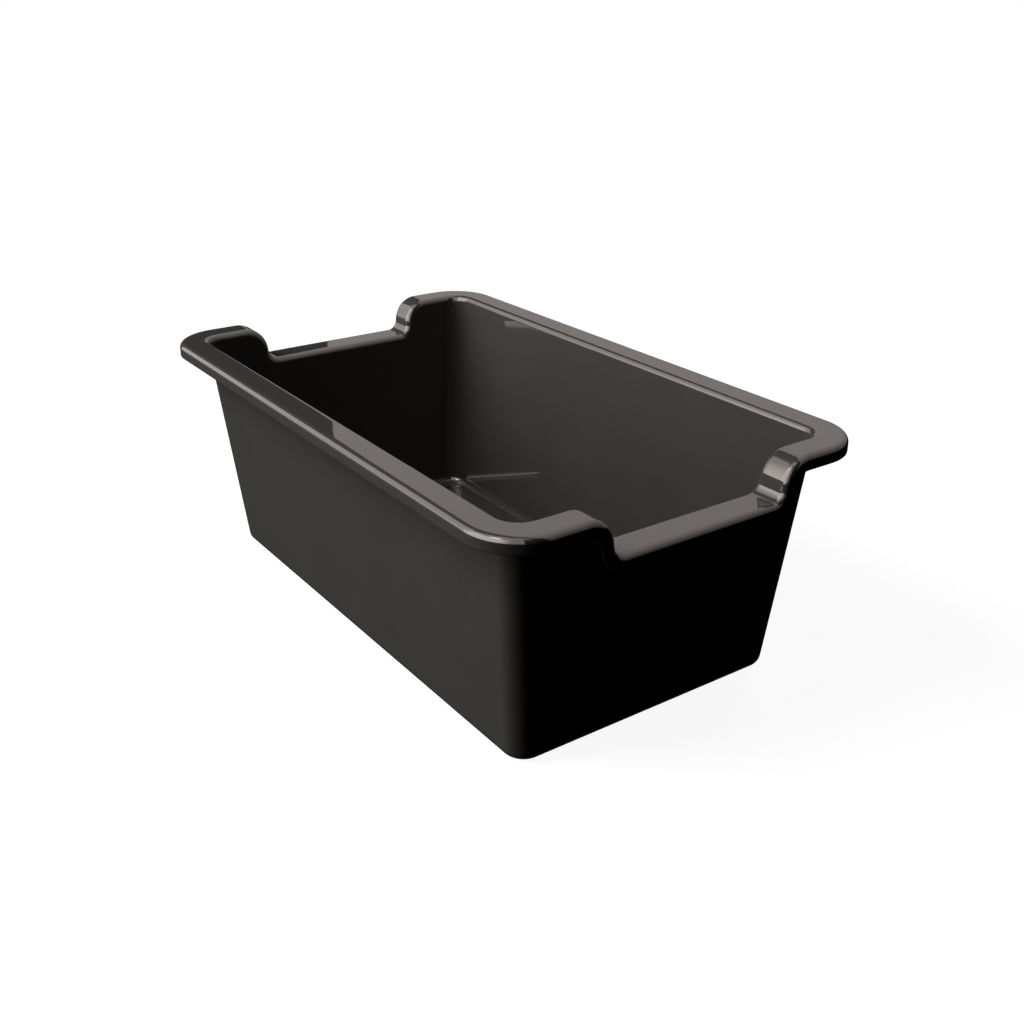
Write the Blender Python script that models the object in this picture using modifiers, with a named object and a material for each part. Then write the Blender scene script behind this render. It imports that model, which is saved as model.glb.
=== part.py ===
"""Mortar mixing tub: one plastic moulding with sloping walls and a turned-down rim.

Units are metres and +Z is up. The origin is at the centre of the base and X runs
along the length. The rim dips in the middle of each short end, as a place to grip
and to pour from. The moulding is one sheet of even thickness: its upper skin is
lofted here as one quarter, mirrored, and given its thickness by Solidify.
"""

import math

import bmesh
import bpy
from mathutils import Vector

TUB_NAME = "tub"
COLLECTION_NAME = "mortar_mixing_tub"

# Overall size
LENGTH = 0.8186            # over the rim, along X
WIDTH = 0.4986             # over the rim, along Y
HEIGHT = 0.300             # from the base to the top of the rim
SHEET = 0.0030             # thickness of the moulded sheet

# Rim
RIM_WIDTH = 0.0395         # from the rim's outer face to the inner wall
SKIRT_DEPTH = 0.0180       # of the edge turned down round the rim
RIM_CORNER = 0.0646        # outer corner radius, seen from above
RIM_ROUND = 0.0078         # rounding from the rim's top to the skirt
LIP_ROUND = 0.0080         # rounding from the rim's top to the inner wall

# Walls and floor, on the inner face
END_SLOPE = 0.0847         # sideways run per rise of the short walls
SIDE_SLOPE = 0.0894        # the same of the long walls
WALL_CORNER = 0.0245       # corner radius, seen from above
FLOOR_ROUND = 0.0110       # rounding from the walls to the floor

# Dip in the rim at each short end
DIP_DEPTH = 0.0467
DIP_HALF_WIDTH = 0.1142    # from the middle to the steep flank
DIP_SHOULDER = 0.0340      # rounding at the top of a flank
DIP_HEEL = 0.0130          # rounding at the foot of a flank
DIP_FLANK = math.radians(84.0)

# Facets
CORNER_STEPS = 8
SHOULDER_STEPS = 7
HEEL_STEPS = 4
ROUND_STEPS = 4
MERGE = 0.00001

PLASTIC_COLOUR = (0.012, 0.011, 0.0108, 1.0)
PLASTIC_ROUGHNESS = 0.22

UP = Vector((0.0, 0.0, 1.0))


def clear_scene():
    """Remove every object that the file already holds."""
    for old in list(bpy.data.objects):
        bpy.data.objects.remove(old, do_unlink=True)


def spread(start, end, steps):
    """Evenly spaced values from start to end, both included."""
    return [start + (end - start) * i / steps for i in range(steps + 1)]


def wall_half(z):
    """Half length and half width of the inner faces at height z."""
    rise = HEIGHT - z
    half_x = LENGTH / 2 - RIM_WIDTH - END_SLOPE * rise
    half_y = WIDTH / 2 - RIM_WIDTH - SIDE_SLOPE * rise
    return half_x, half_y


class Station:
    """One place along the rim, where the section of the moulding is drawn.

    edge is the sharp corner that the rim's top and outer face would make, out
    points away from the tub, and over is square to the rim's top there. wall_x and
    wall_y place the section on a flat wall; a corner's section leaves them None.
    """

    def __init__(self, edge, out, over=UP, wall_x=None, wall_y=None):
        self.edge = edge
        self.out = out
        self.over = over
        self.wall_x = wall_x
        self.wall_y = wall_y
        slope = END_SLOPE * out.x + SIDE_SLOPE * out.y
        self.wall_out = Vector((out.x, out.y, -slope)).normalized()

    def wall_point(self, z):
        """Point of the inner wall at height z."""
        half_x, half_y = wall_half(z)
        x = half_x - WALL_CORNER if self.wall_x is None else self.wall_x
        y = half_y - WALL_CORNER if self.wall_y is None else self.wall_y
        return Vector((x, y, z)) + self.out * WALL_CORNER

    def skirt_and_top(self):
        """Skirt, then the outer rounding, up to the flat top."""
        centre = self.edge - (self.out + self.over) * RIM_ROUND
        points = [self.edge - self.over * SKIRT_DEPTH]
        for turn in spread(0.0, math.pi / 2, ROUND_STEPS):
            way = self.out * math.cos(turn) + self.over * math.sin(turn)
            points.append(centre + way * RIM_ROUND)
        return points

    def lip(self):
        """Inner rounding, from the flat top down to the wall."""
        under_top = self.edge - self.over * LIP_ROUND
        contact_z = under_top.z - self.wall_out.z * LIP_ROUND
        centre = self.wall_point(contact_z) + self.wall_out * LIP_ROUND
        return arc(centre, self.over, -self.wall_out, LIP_ROUND)

    def floor_edge(self):
        """Rounding from the wall to the floor."""
        contact_z = SHEET + FLOOR_ROUND * (1.0 + self.wall_out.z)
        centre = self.wall_point(contact_z) - self.wall_out * FLOOR_ROUND
        return arc(centre, self.wall_out, -UP, FLOOR_ROUND)

    def section(self):
        """Upper skin at this place, from the skirt's edge to the floor."""
        return self.skirt_and_top() + self.lip() + self.floor_edge()


def arc(centre, start, end, radius):
    """Points on the round stretch between two directions seen from its centre."""
    whole = start.angle(end)
    points = []
    for turn in spread(0.0, whole, ROUND_STEPS):
        way = (start * math.sin(whole - turn) + end * math.sin(turn)) / math.sin(whole)
        points.append(centre + way * radius)
    return points


def dip_line():
    """The rim's line across half of a short end: (y, drop, tilt) from the corner in."""
    bend = 1.0 - math.cos(DIP_FLANK)
    reach = math.sin(DIP_FLANK)
    flank = (DIP_DEPTH - (DIP_SHOULDER + DIP_HEEL) * bend) / reach
    shoulder_y = DIP_HALF_WIDTH + DIP_SHOULDER * reach + flank * math.cos(DIP_FLANK) / 2
    heel_y = DIP_HALF_WIDTH - DIP_HEEL * reach - flank * math.cos(DIP_FLANK) / 2
    line = []
    for tilt in spread(0.0, DIP_FLANK, SHOULDER_STEPS):
        y = shoulder_y - DIP_SHOULDER * math.sin(tilt)
        line.append((y, DIP_SHOULDER * (1.0 - math.cos(tilt)), tilt))
    for tilt in spread(DIP_FLANK, 0.0, HEEL_STEPS):
        y = heel_y + DIP_HEEL * math.sin(tilt)
        line.append((y, DIP_DEPTH - DIP_HEEL * (1.0 - math.cos(tilt)), tilt))
    line.append((0.0, DIP_DEPTH, 0.0))
    return line


def rim_stations():
    """Stations of one quarter, from the middle of a long side to that of an end."""
    half_x = LENGTH / 2
    half_y = WIDTH / 2
    pivot = Vector((half_x - RIM_CORNER, half_y - RIM_CORNER, HEIGHT))
    side_middle = Vector((0.0, half_y, HEIGHT))
    stations = [Station(side_middle, Vector((0.0, 1.0, 0.0)), wall_x=0.0)]
    for turn in spread(0.0, math.pi / 2, CORNER_STEPS):
        out = Vector((math.sin(turn), math.cos(turn), 0.0))
        stations.append(Station(pivot + out * RIM_CORNER, out))
    for y, drop, tilt in dip_line():
        edge = Vector((half_x, y, HEIGHT - drop))
        over = Vector((0.0, -math.sin(tilt), math.cos(tilt)))
        wall_y = y + LIP_ROUND * math.sin(tilt)
        stations.append(Station(edge, Vector((1.0, 0.0, 0.0)), over, wall_y=wall_y))
    return stations


def quarter_skin():
    """Upper skin of one quarter: the lofted sections, and the floor as a fan."""
    mesh_maker = bmesh.new()
    rows = []
    for station in rim_stations():
        rows.append([mesh_maker.verts.new(point) for point in station.section()])
    for here, there in zip(rows, rows[1:]):
        for low in range(len(here) - 1):
            mesh_maker.faces.new((here[low], here[low + 1], there[low + 1], there[low]))
    middle = mesh_maker.verts.new((0.0, 0.0, SHEET))
    for here, there in zip(rows, rows[1:]):
        mesh_maker.faces.new((here[-1], middle, there[-1]))
    mesh = bpy.data.meshes.new(TUB_NAME)
    mesh_maker.to_mesh(mesh)
    mesh_maker.free()
    return mesh


def plastic():
    """Glossy black moulded plastic."""
    material = bpy.data.materials.new("black_plastic")
    material.use_nodes = True
    shader = material.node_tree.nodes["Principled BSDF"]
    shader.inputs["Base Color"].default_value = PLASTIC_COLOUR
    shader.inputs["Roughness"].default_value = PLASTIC_ROUGHNESS
    shader.inputs["Metallic"].default_value = 0.0
    return material


def make_tub(collection):
    """The whole moulding: the quarter skin, mirrored twice and thickened."""
    mesh = quarter_skin()
    mesh.shade_smooth()
    mesh.set_sharp_from_angle(angle=math.radians(40.0))
    mesh.materials.append(plastic())
    tub = bpy.data.objects.new(TUB_NAME, mesh)
    collection.objects.link(tub)

    mirror = tub.modifiers.new("quarters", "MIRROR")
    mirror.use_axis = (True, True, False)
    mirror.use_mirror_merge = True
    mirror.merge_threshold = MERGE

    thickness = tub.modifiers.new("sheet", "SOLIDIFY")
    thickness.thickness = SHEET
    thickness.offset = -1.0
    thickness.use_even_offset = True
    thickness.use_quality_normals = True
    return tub


def main():
    clear_scene()
    collection = bpy.data.collections.new(COLLECTION_NAME)
    bpy.context.scene.collection.children.link(collection)
    make_tub(collection)


main()
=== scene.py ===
"""Looks of the mortar mixing tub: a fine-surfaced glossy black moulding on a pale floor."""

import math
import bpy
import bmesh
from mathutils import Matrix, Vector


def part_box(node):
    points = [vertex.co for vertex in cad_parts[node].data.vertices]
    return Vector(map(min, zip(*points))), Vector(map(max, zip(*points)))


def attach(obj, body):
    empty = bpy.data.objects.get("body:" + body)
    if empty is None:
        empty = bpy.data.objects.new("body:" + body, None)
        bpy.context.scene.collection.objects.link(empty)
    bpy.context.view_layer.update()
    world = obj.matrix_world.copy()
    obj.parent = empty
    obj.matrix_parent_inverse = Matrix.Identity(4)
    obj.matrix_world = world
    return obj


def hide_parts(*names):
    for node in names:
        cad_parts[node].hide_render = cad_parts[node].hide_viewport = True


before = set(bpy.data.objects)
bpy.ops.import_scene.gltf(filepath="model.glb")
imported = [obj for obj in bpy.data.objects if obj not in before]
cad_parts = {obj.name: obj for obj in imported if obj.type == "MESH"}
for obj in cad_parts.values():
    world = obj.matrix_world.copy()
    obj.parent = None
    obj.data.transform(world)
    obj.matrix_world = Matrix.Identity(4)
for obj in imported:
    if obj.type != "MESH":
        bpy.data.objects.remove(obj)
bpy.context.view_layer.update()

# ---------------------------------------------------------------- sizes, in metres
low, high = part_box("tub")
LENGTH = high.x - low.x
WIDTH = high.y - low.y
HEIGHT = high.z - low.z

SHEET = 0.0030             # thickness of the moulded sheet
RIM_WIDTH = 0.0395         # from the rim's outer face to the inner wall
SKIRT_DEPTH = 0.0180       # of the edge turned down round the rim
SKIRT_EDGE_ROUND = 0.0012  # rounding of the skirt's lower edges
RIM_CORNER = 0.0646        # outer corner radius of the rim, seen from above
RIM_ROUND = 0.0078         # rounding from the rim's top to the skirt
LIP_ROUND = 0.0080         # rounding from the rim's top to the inner wall
END_SLOPE = 0.0847         # sideways run per rise of the short walls
SIDE_SLOPE = 0.0894        # the same of the long walls
WALL_CORNER = 0.0245       # inner corner radius of the walls, seen from above
FLOOR_ROUND = 0.0110       # inner rounding from the walls to the floor

# Dip in the rim at each short end
DIP_DEPTH = 0.0467
DIP_HALF_WIDTH = 0.1142    # from the middle to the steep flank
DIP_SHOULDER = 0.0340      # rounding at the top of a flank
DIP_HEEL = 0.0130          # rounding at the foot of a flank
DIP_FLANK = math.radians(84.0)

# Facets
CORNER_STEPS = 24
SHOULDER_STEPS = 20
HEEL_STEPS = 10
ROUND_STEPS = 10
SKIRT_EDGE_STEPS = 3
STRIP = 0.0012             # narrow faces between a flat stretch and a rounding
MERGE = 0.00001
SHARP_EDGE = math.radians(60.0)

UP = Vector((0.0, 0.0, 1.0))

# ---------------------------------------------------------------- plastic
PLASTIC_IOR = 1.5
PLASTIC_DARK = (0.0460, 0.0430, 0.0405)
PLASTIC_LIGHT = (0.0510, 0.0475, 0.0445)
PLASTIC_RUBBED = (0.0700, 0.0660, 0.0630)

CLOUD_SIZE = 0.060           # of the broad blotches in the colour
CLOUD_SHARE = 0.75           # of the colour's unevenness; specks make the rest
SPECK_SIZE = 0.0012
COLOUR_NOISE = (0.3, 0.7)    # stretch of the noise that spans dark to light

SMEAR_SIZE = 0.035           # of the blotches in the polish
SMEAR_NOISE = (0.3, 0.75)
ROUGHNESS = (0.004, 0.014)   # where the polish is best and worst

WEAR = "wear"                # name of the vertices' wear, 0 to 1
SCUFF_SIZE = 0.0035
SCUFF_NOISE = (0.52, 0.72)   # no scuff below, a full one above
SCUFF_COVER = 0.5            # how far a full scuff turns to the rubbed colour
SCUFF_ROUGHNESS = 0.05       # that a full scuff adds

RIPPLE_SIZE = 0.020          # of the slow waves that a large moulding has
RIPPLE_HEIGHT = 0.000012
GRAIN_SIZE = 0.0008          # of its finest grain
GRAIN_HEIGHT = 0.0000010


def spread(start, end, steps):
    """Evenly spaced values from start to end, both included."""
    return [start + (end - start) * i / steps for i in range(steps + 1)]


def arc(centre, start, end, radius):
    """Points on the round stretch between two directions seen from its centre."""
    whole = start.angle(end)
    points = []
    for turn in spread(0.0, whole, ROUND_STEPS):
        way = (start * math.sin(whole - turn) + end * math.sin(turn)) / math.sin(whole)
        points.append(centre + way * radius)
    return points


def wall_half(z):
    """Half length and half width of the inner faces at height z."""
    rise = HEIGHT - z
    half_x = LENGTH / 2 - RIM_WIDTH - END_SLOPE * rise
    half_y = WIDTH / 2 - RIM_WIDTH - SIDE_SLOPE * rise
    return half_x, half_y


def narrow_strips(start, end):
    """Points just inside both ends of a straight stretch, which keep it shaded flat."""
    along = (end - start).normalized() * STRIP
    return start + along, end - along


class Station:
    """One place along the rim, where the section of the moulding is drawn.

    edge is the sharp corner that the rim's top and outer face would make, out
    points away from the tub, and over is square to the rim's top there. wall_x and
    wall_y place the section on a flat wall; a corner's section leaves them None.
    """

    def __init__(self, edge, out, over=UP, wall_x=None, wall_y=None):
        self.edge = edge
        self.out = out
        self.over = over
        self.wall_x = wall_x
        self.wall_y = wall_y
        slope = END_SLOPE * out.x + SIDE_SLOPE * out.y
        self.wall_out = Vector((out.x, out.y, -slope)).normalized()

    def wall_point(self, z):
        """Point of the inner wall at height z."""
        half_x, half_y = wall_half(z)
        x = half_x - WALL_CORNER if self.wall_x is None else self.wall_x
        y = half_y - WALL_CORNER if self.wall_y is None else self.wall_y
        return Vector((x, y, z)) + self.out * WALL_CORNER

    def skirt_and_top(self):
        """Skirt, then the outer rounding, up to the flat top."""
        centre = self.edge - (self.out + self.over) * RIM_ROUND
        points = [self.edge - self.over * SKIRT_DEPTH]
        for turn in spread(0.0, math.pi / 2, ROUND_STEPS):
            way = self.out * math.cos(turn) + self.over * math.sin(turn)
            points.append(centre + way * RIM_ROUND)
        return points

    def lip(self):
        """Inner rounding, from the flat top down to the wall."""
        under_top = self.edge - self.over * LIP_ROUND
        contact_z = under_top.z - self.wall_out.z * LIP_ROUND
        centre = self.wall_point(contact_z) + self.wall_out * LIP_ROUND
        return arc(centre, self.over, -self.wall_out, LIP_ROUND)

    def floor_edge(self):
        """Rounding from the wall to the floor."""
        contact_z = SHEET + FLOOR_ROUND * (1.0 + self.wall_out.z)
        centre = self.wall_point(contact_z) - self.wall_out * FLOOR_ROUND
        return arc(centre, self.wall_out, -UP, FLOOR_ROUND)

    def section(self):
        """Each point of the upper skin, from the skirt's edge to the floor, and its wear.

        A flat stretch has a narrow strip at each end. Wear is 1 on the edges that get
        rubbed, which are the skirt's lower edge and both roundings, and 0 elsewhere.
        """
        outer = self.skirt_and_top()
        lip = self.lip()
        foot = self.floor_edge()
        top_out, top_in = narrow_strips(outer[-1], lip[0])
        wall_high, wall_low = narrow_strips(lip[-1], foot[0])
        skirt_low, skirt_high = narrow_strips(outer[0], outer[1])
        stretches = (
            ([outer[0], skirt_low], 1.0),
            ([skirt_high], 0.0),
            (outer[1:], 1.0),
            ([top_out, top_in], 0.0),
            (lip, 1.0),
            ([wall_high, wall_low], 0.0),
            (foot, 0.0),
        )
        return [(point, wear) for points, wear in stretches for point in points]


def dip_line():
    """The rim's line across half of a short end: (y, drop, tilt) from the corner in."""
    bend = 1.0 - math.cos(DIP_FLANK)
    reach = math.sin(DIP_FLANK)
    flank = (DIP_DEPTH - (DIP_SHOULDER + DIP_HEEL) * bend) / reach
    shoulder_y = DIP_HALF_WIDTH + DIP_SHOULDER * reach + flank * math.cos(DIP_FLANK) / 2
    heel_y = DIP_HALF_WIDTH - DIP_HEEL * reach - flank * math.cos(DIP_FLANK) / 2
    line = []
    for tilt in spread(0.0, DIP_FLANK, SHOULDER_STEPS):
        y = shoulder_y - DIP_SHOULDER * math.sin(tilt)
        line.append((y, DIP_SHOULDER * (1.0 - math.cos(tilt)), tilt))
    for tilt in spread(DIP_FLANK, 0.0, HEEL_STEPS):
        y = heel_y + DIP_HEEL * math.sin(tilt)
        line.append((y, DIP_DEPTH - DIP_HEEL * (1.0 - math.cos(tilt)), tilt))
    line.append((0.0, DIP_DEPTH, 0.0))
    return line


def rim_stations():
    """Stations of one quarter, from the middle of a long side to that of an end."""
    half_x = LENGTH / 2
    half_y = WIDTH / 2
    pivot = Vector((half_x - RIM_CORNER, half_y - RIM_CORNER, HEIGHT))
    side_middle = Vector((0.0, half_y, HEIGHT))
    stations = [Station(side_middle, Vector((0.0, 1.0, 0.0)), wall_x=0.0)]
    for turn in spread(0.0, math.pi / 2, CORNER_STEPS):
        out = Vector((math.sin(turn), math.cos(turn), 0.0))
        stations.append(Station(pivot + out * RIM_CORNER, out))
    for y, drop, tilt in dip_line():
        edge = Vector((half_x, y, HEIGHT - drop))
        over = Vector((0.0, -math.sin(tilt), math.cos(tilt)))
        wall_y = y + LIP_ROUND * math.sin(tilt)
        stations.append(Station(edge, Vector((1.0, 0.0, 0.0)), over, wall_y=wall_y))
    return stations


def tub_skin():
    """Upper skin of one quarter: the lofted sections, and the floor as a fan."""
    maker = bmesh.new()
    wear_layer = maker.verts.layers.float.new(WEAR)
    rows = []
    for station in rim_stations():
        row = []
        for point, wear in station.section():
            vertex = maker.verts.new(point)
            vertex[wear_layer] = wear
            row.append(vertex)
        rows.append(row)
    for here, there in zip(rows, rows[1:]):
        for step in range(len(here) - 1):
            maker.faces.new((here[step], here[step + 1], there[step + 1], there[step]))
    middle = maker.verts.new((0.0, 0.0, SHEET))
    for here, there in zip(rows, rows[1:]):
        maker.faces.new((here[-1], middle, there[-1]))
    mesh = bpy.data.meshes.new("tub_surface")
    maker.to_mesh(mesh)
    maker.free()
    mesh.shade_smooth()
    return mesh


def add_modifiers(tub):
    """Mirrors the quarter, gives it thickness, and rounds the skirt's lower edges."""
    mirror = tub.modifiers.new("quarters", "MIRROR")
    mirror.use_axis = (True, True, False)
    mirror.use_mirror_merge = True
    mirror.merge_threshold = MERGE

    thickness = tub.modifiers.new("sheet", "SOLIDIFY")
    thickness.thickness = SHEET
    thickness.offset = -1.0
    thickness.use_even_offset = True
    thickness.use_quality_normals = True

    rounding = tub.modifiers.new("skirt_edges", "BEVEL")
    rounding.limit_method = "ANGLE"
    rounding.angle_limit = SHARP_EDGE
    rounding.width = SKIRT_EDGE_ROUND
    rounding.segments = SKIRT_EDGE_STEPS

    shading = tub.modifiers.new("even_shading", "WEIGHTED_NORMAL")
    shading.mode = "FACE_AREA"
    shading.weight = 100
    shading.keep_sharp = True


class Nodes:
    """Short names for adding and joining the nodes of one material or world."""

    def __init__(self, tree):
        self.tree = tree

    def add(self, kind, **settings):
        """Adds a node and sets its properties."""
        node = self.tree.nodes.new(kind)
        for name, value in settings.items():
            setattr(node, name, value)
        return node

    def feed(self, node, name, value):
        """Sets an input to a number, or joins another node's output to it."""
        socket = node.inputs[name]
        if isinstance(value, bpy.types.NodeSocket):
            self.tree.links.new(value, socket)
        else:
            socket.default_value = value

    def maths(self, operation, *values):
        """One Math node on numbers or outputs."""
        node = self.add("ShaderNodeMath", operation=operation)
        for index, value in enumerate(values):
            self.feed(node, index, value)
        return node.outputs[0]

    def scaled_sum(self, number, colour, total):
        """A colour times a number, added to a total."""
        node = self.add("ShaderNodeVectorMath", operation="MULTIPLY_ADD")
        for index, value in enumerate((number, colour, total)):
            self.feed(node, index, value)
        return node.outputs[0]

    def mapped(self, value, from_low, from_high, to_low, to_high, smooth=False):
        """Value moved from one range to another, and kept inside it."""
        kind = "SMOOTHSTEP" if smooth else "LINEAR"
        node = self.add("ShaderNodeMapRange", interpolation_type=kind)
        inputs = {"Value": value, "From Min": from_low, "From Max": from_high,
                  "To Min": to_low, "To Max": to_high}
        for name, given in inputs.items():
            self.feed(node, name, given)
        return node.outputs["Result"]

    def mixed(self, amount, first, second):
        """Colour between two colours or outputs."""
        node = self.add("ShaderNodeMix", data_type="RGBA")
        for index, value in ((0, amount), (6, first), (7, second)):
            self.feed(node, index, value)
        return node.outputs[2]

    def noise(self, place, size, detail):
        """Smooth noise from 0 to 1, with blotches about size metres across."""
        node = self.add("ShaderNodeTexNoise")
        self.feed(node, "Vector", place)
        self.feed(node, "Scale", 1.0 / size)
        self.feed(node, "Detail", detail)
        return node.outputs["Fac"]


def black_plastic():
    """Glossy black plastic with the faint unevenness and scuffs of a large moulding."""
    material = bpy.data.materials.new("black_plastic")
    material.use_nodes = True
    nodes = Nodes(material.node_tree)
    shader = material.node_tree.nodes["Principled BSDF"]
    shader.inputs["IOR"].default_value = PLASTIC_IOR
    place = nodes.add("ShaderNodeTexCoord").outputs["Object"]

    cloud = nodes.noise(place, CLOUD_SIZE, detail=3.0)
    speck = nodes.noise(place, SPECK_SIZE, detail=2.0)
    shade = nodes.maths("ADD", nodes.mapped(cloud, *COLOUR_NOISE, 0.0, CLOUD_SHARE),
                        nodes.mapped(speck, *COLOUR_NOISE, 0.0, 1.0 - CLOUD_SHARE))
    colour = nodes.mixed(shade, (*PLASTIC_DARK, 1.0), (*PLASTIC_LIGHT, 1.0))

    wear = nodes.add("ShaderNodeAttribute", attribute_name=WEAR).outputs["Fac"]
    scuff_noise = nodes.noise(place, SCUFF_SIZE, detail=5.0)
    scuffs = nodes.maths("MULTIPLY", wear, nodes.mapped(scuff_noise, *SCUFF_NOISE, 0.0, 1.0))
    cover = nodes.maths("MULTIPLY", scuffs, SCUFF_COVER)
    nodes.feed(shader, "Base Color", nodes.mixed(cover, colour, (*PLASTIC_RUBBED, 1.0)))

    smear = nodes.noise(place, SMEAR_SIZE, detail=4.0)
    polish = nodes.mapped(smear, *SMEAR_NOISE, *ROUGHNESS)
    nodes.feed(shader, "Roughness", nodes.maths("MULTIPLY_ADD", scuffs, SCUFF_ROUGHNESS, polish))

    ripple = nodes.maths("MULTIPLY", nodes.noise(place, RIPPLE_SIZE, detail=1.0), RIPPLE_HEIGHT)
    grain = nodes.noise(place, GRAIN_SIZE, detail=1.0)
    height = nodes.maths("MULTIPLY_ADD", grain, GRAIN_HEIGHT, ripple)
    bump = nodes.add("ShaderNodeBump")
    nodes.feed(bump, "Height", height)
    bump.inputs["Strength"].default_value = 1.0
    bump.inputs["Distance"].default_value = 1.0
    nodes.feed(shader, "Normal", bump.outputs["Normal"])
    return material


def make_tub():
    """The whole moulding, in place of the CAD's tub."""
    tub = bpy.data.objects.new("tub_surface", tub_skin())
    bpy.context.scene.collection.objects.link(tub)
    add_modifiers(tub)
    tub.data.materials.append(black_plastic())
    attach(tub, "root")
    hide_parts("tub")


# ---------------------------------------------------------------- lights
AIM = Vector((0.0, 0.0, 0.5 * HEIGHT))
WASH_DISTANCE = 4.0


def direction(azimuth, elevation):
    """Unit vector towards an azimuth (degrees, from +X to +Y) and an elevation."""
    azimuth = math.radians(azimuth)
    elevation = math.radians(elevation)
    flat = math.cos(elevation)
    return Vector((math.cos(azimuth) * flat, math.sin(azimuth) * flat, math.sin(elevation)))


def wash(name, azimuth, elevation, radiance, width, height):
    """A soft light for the plastic's own shade, without a reflection of its own.

    It shines on the tub from an azimuth and an elevation in degrees.
    """
    data = bpy.data.lights.new(name, "AREA")
    data.shape = "RECTANGLE"
    data.size = width
    data.size_y = height
    data.energy = radiance * width * height * math.pi
    light = bpy.data.objects.new(name, data)
    ahead = -direction(azimuth, elevation)
    right = ahead.cross(UP).normalized()
    turn = Matrix((right, right.cross(ahead), -ahead)).transposed().to_4x4()
    light.matrix_world = Matrix.Translation(AIM - ahead * WASH_DISTANCE) @ turn
    light.visible_camera = False
    light.visible_glossy = False
    bpy.context.scene.collection.objects.link(light)


def window(nodes, way, azimuths, elevations, side_fade, height_fade):
    """1 towards a softbox far off and 0 beside it, with faded edges; and the elevation."""
    middle = math.radians(0.5 * (azimuths[0] + azimuths[1]))
    half = math.radians(0.5 * (azimuths[1] - azimuths[0]))
    turned = nodes.add("ShaderNodeVectorRotate", rotation_type="Z_AXIS")
    nodes.feed(turned, "Vector", way)
    nodes.feed(turned, "Angle", -middle)
    parts = nodes.add("ShaderNodeSeparateXYZ")
    nodes.feed(parts, "Vector", turned.outputs[0])
    bearing = nodes.maths("ARCTAN2", parts.outputs["Y"], parts.outputs["X"])
    aside = nodes.maths("ABSOLUTE", bearing)
    height = nodes.maths("ARCSINE", parts.outputs["Z"])
    side = math.radians(side_fade) / 2
    rise = math.radians(height_fade) / 2
    low_edge, high_edge = (math.radians(elevation) for elevation in elevations)
    inside = nodes.mapped(aside, half - side, half + side, 1.0, 0.0, smooth=True)
    above = nodes.mapped(height, low_edge - rise, low_edge + rise, 0.0, 1.0, smooth=True)
    below = nodes.mapped(height, high_edge - rise, high_edge + rise, 1.0, 0.0, smooth=True)
    return nodes.maths("MULTIPLY", nodes.maths("MULTIPLY", inside, above), below), height


WARM_WHITE = (1.10, 1.00, 0.96)
PINK_WHITE = (1.12, 1.00, 0.96)

# Softboxes seen in the gloss: azimuths, elevations, fades at the sides and at
# the top and bottom edge (degrees), radiance low down and high up, tint. In turn:
# behind the tub, in front of it, the bright middle of the front one, above the
# front one, and a narrow bright strip at the front one's top.
SOFTBOXES = (
    ((16.0, 153.8), (2.0, 82.0), (0.1, 6.0), (0.58, 1.95), PINK_WHITE),
    ((192.0, 335.0), (-1.0, 50.0), (1.0, 5.0), (2.3, 2.7), WARM_WHITE),
    ((226.0, 303.0), (-1.0, 52.0), (30.0, 6.0), (5.4, 5.4), WARM_WHITE),
    ((215.0, 350.0), (54.0, 80.0), (40.0, 8.0), (2.8, 2.8), WARM_WHITE),
    ((258.0, 284.0), (51.0, 60.0), (5.0, 3.0), (15.0, 15.0), WARM_WHITE),
)
RISE_FROM = math.radians(14.0)   # up to here the radiance is the low one
RISE_TO = math.radians(62.0)     # from here on it is the high one


def make_softboxes():
    """The softboxes as a world that only the gloss sees."""
    world = bpy.data.worlds.new("softboxes")
    world.use_nodes = True
    bpy.context.scene.world = world
    world.cycles_visibility.camera = False
    world.cycles_visibility.diffuse = False
    nodes = Nodes(world.node_tree)
    way = nodes.add("ShaderNodeTexCoord").outputs["Generated"]
    total = (0.0, 0.0, 0.0)
    for azimuths, elevations, fades, radiances, tint in SOFTBOXES:
        seen, height = window(nodes, way, azimuths, elevations, *fades)
        radiance = nodes.mapped(height, RISE_FROM, RISE_TO, *radiances)
        strength = nodes.maths("MULTIPLY", seen, radiance)
        total = nodes.scaled_sum(strength, tint, total)
    nodes.feed(world.node_tree.nodes["Background"], "Color", total)


def make_lights():
    """Washes for the plastic's own shade, and the softboxes for its gloss."""
    wash("low_wash", 234.0, 10.0, 5.9, width=3.4, height=1.4)
    wash("middle_wash", 234.0, 30.0, 8.4, width=3.4, height=1.2)
    wash("high_wash", 246.0, 50.0, 10.4, width=2.4, height=1.2)
    wash("back_wash", 112.0, 10.0, 7.5, width=2.0, height=1.6)
    wash("under_wash", 180.0, -78.0, 4.0, width=2.0, height=2.0)
    make_softboxes()


# ---------------------------------------------------------------- floor and backdrop
FLOOR_RADIUS = 3.0
FLOOR_NEAR = 0.6           # radius within which the floor takes the light in full
FLOOR_FAR = 2.4            # radius beyond which it is plain white
FLOOR_SHADE = 0.20
FLOOR_GLOW = 0.92          # emission near the tub; far off it is 1
BACKDROP_RADIUS = 14.0


def grey(level):
    """A colour of one level, with its alpha."""
    return (level, level, level, 1.0)


def pale_matt(name):
    """A matt material that glows white, with its nodes and its shader."""
    material = bpy.data.materials.new(name)
    material.use_nodes = True
    shader = material.node_tree.nodes["Principled BSDF"]
    shader.inputs["Roughness"].default_value = 1.0
    shader.inputs["Specular IOR Level"].default_value = 0.0
    shader.inputs["Emission Color"].default_value = grey(1.0)
    return material, Nodes(material.node_tree), shader


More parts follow.
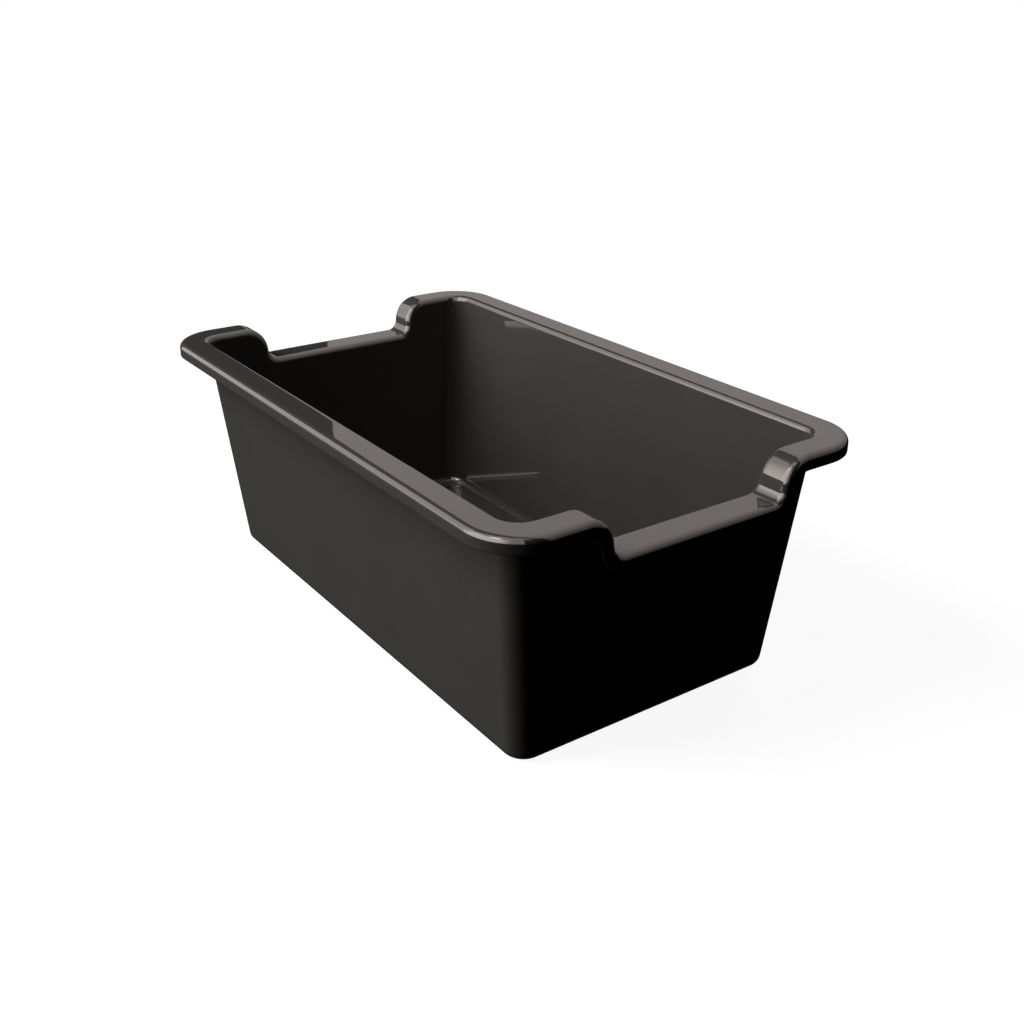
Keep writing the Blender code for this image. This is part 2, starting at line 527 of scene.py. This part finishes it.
def pale_floor():
    """Pale round the tub, plain white far off, and clear from below."""
    material, nodes, shader = pale_matt("pale_floor")
    place = nodes.add("ShaderNodeTexCoord").outputs["Object"]
    distance = nodes.add("ShaderNodeVectorMath", operation="LENGTH")
    nodes.feed(distance, 0, place)
    far = nodes.mapped(distance.outputs["Value"], FLOOR_NEAR, FLOOR_FAR, 0.0, 1.0, smooth=True)
    nodes.feed(shader, "Base Color", nodes.mixed(far, grey(FLOOR_SHADE), grey(0.0)))
    nodes.feed(shader, "Emission Strength", nodes.mapped(far, 0.0, 1.0, FLOOR_GLOW, 1.0))
    clear = nodes.add("ShaderNodeBsdfTransparent")
    below = nodes.add("ShaderNodeNewGeometry").outputs["Backfacing"]
    both = nodes.add("ShaderNodeMixShader")
    nodes.feed(both, 0, below)
    nodes.feed(both, 1, shader.outputs[0])
    nodes.feed(both, 2, clear.outputs[0])
    nodes.feed(material.node_tree.nodes["Material Output"], "Surface", both.outputs[0])
    return material


def pale_backdrop():
    """Plain white, whatever the light."""
    material, _, shader = pale_matt("pale_backdrop")
    shader.inputs["Base Color"].default_value = grey(0.0)
    shader.inputs["Emission Strength"].default_value = 1.0
    return material


def set_stage(thing, material):
    """Shows a thing to the camera only: it lights nothing and casts no shadow."""
    thing.data.materials.append(material)
    thing.visible_diffuse = False
    thing.visible_glossy = False
    thing.visible_transmission = False
    thing.visible_shadow = False


def make_surroundings():
    """The floor, and a backdrop all round it."""
    bpy.ops.mesh.primitive_circle_add(vertices=96, radius=FLOOR_RADIUS, fill_type="NGON")
    floor = bpy.context.object
    floor.name = "floor"
    set_stage(floor, pale_floor())
    bpy.ops.mesh.primitive_uv_sphere_add(segments=64, ring_count=32, radius=BACKDROP_RADIUS)
    backdrop = bpy.context.object
    backdrop.name = "backdrop"
    set_stage(backdrop, pale_backdrop())


# ---------------------------------------------------------------- camera
CAMERA_PLACE = Vector((1.1917, -0.7900, 0.7717))
CAMERA_AZIMUTH = math.radians(54.782)   # from +Y towards -X
CAMERA_DOWN = math.radians(24.526)      # below the level
CAMERA_ROLL = math.radians(0.152)
CAMERA_LENS = 42.31                     # in millimetres, like the sensor
CAMERA_SENSOR = 36.0


def make_camera():
    """The camera, looking down into the tub over its near corner."""
    data = bpy.data.cameras.new("camera")
    data.sensor_width = CAMERA_SENSOR
    data.lens = CAMERA_LENS
    data.clip_start = 0.05
    data.clip_end = 60.0
    camera = bpy.data.objects.new("camera", data)
    flat = math.cos(CAMERA_DOWN)
    ahead = Vector((-math.sin(CAMERA_AZIMUTH) * flat, math.cos(CAMERA_AZIMUTH) * flat,
                    -math.sin(CAMERA_DOWN)))
    right = ahead.cross(UP).normalized()
    top = right.cross(ahead)
    turned_right = right * math.cos(CAMERA_ROLL) + top * math.sin(CAMERA_ROLL)
    turned_top = top * math.cos(CAMERA_ROLL) - right * math.sin(CAMERA_ROLL)
    turn = Matrix((turned_right, turned_top, -ahead)).transposed().to_4x4()
    camera.matrix_world = Matrix.Translation(CAMERA_PLACE) @ turn
    bpy.context.scene.collection.objects.link(camera)
    bpy.context.scene.camera = camera


make_tub()
make_surroundings()
make_lights()
make_camera()
bpy.context.scene.view_settings.view_transform = "Standard"
